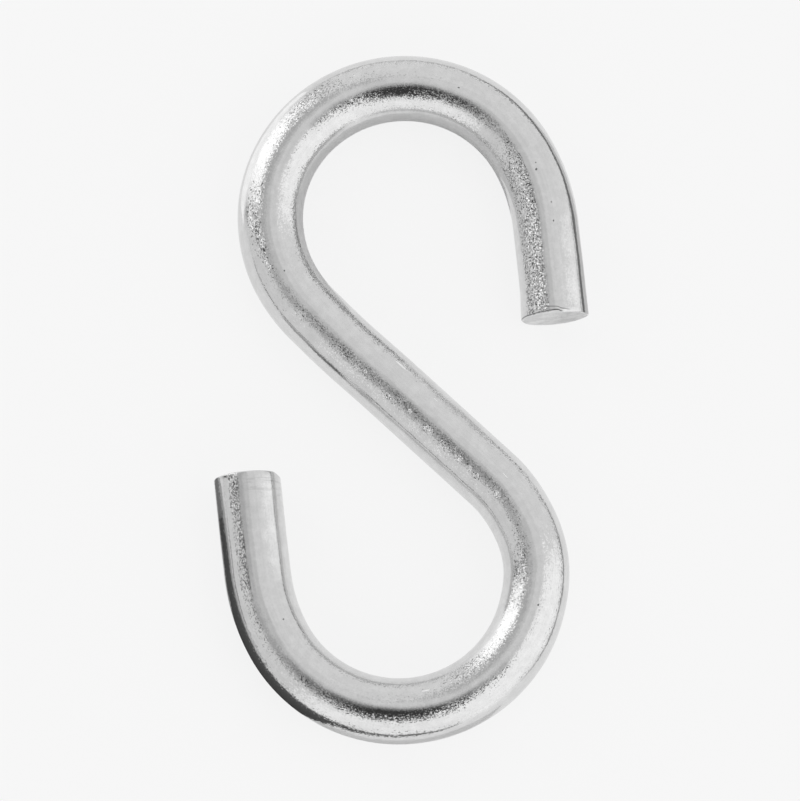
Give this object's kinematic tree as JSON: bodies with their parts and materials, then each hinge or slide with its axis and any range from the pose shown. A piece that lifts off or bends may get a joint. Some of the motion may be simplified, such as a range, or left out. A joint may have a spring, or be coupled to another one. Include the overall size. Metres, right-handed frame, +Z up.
{
  "type": "s hook",
  "caption": "S-shaped hook of round plated wire, open at each end, for hanging something from a rail, ring or chain link.",
  "frame": {"origin": "on the surface that the hook lies on, under the middle of the shank, which is also the middle of the hook's box", "axes": "+Z up off the surface and square to the plane of the S; +Y along the hook, from the lower bend to the upper one; +X across it, towards the side where the upper hook ends"},
  "size_m": [0.0336, 0.0634, 0.006],
  "materials": {
    "plated_wire": "bright zinc plating on drawn wire: satin, with fine lengthwise lines, a granular sparkle and small handling marks"
  },
  "bodies": {
    "root": {"s_hook": "plated_wire"}
  },
  "joints": []
}
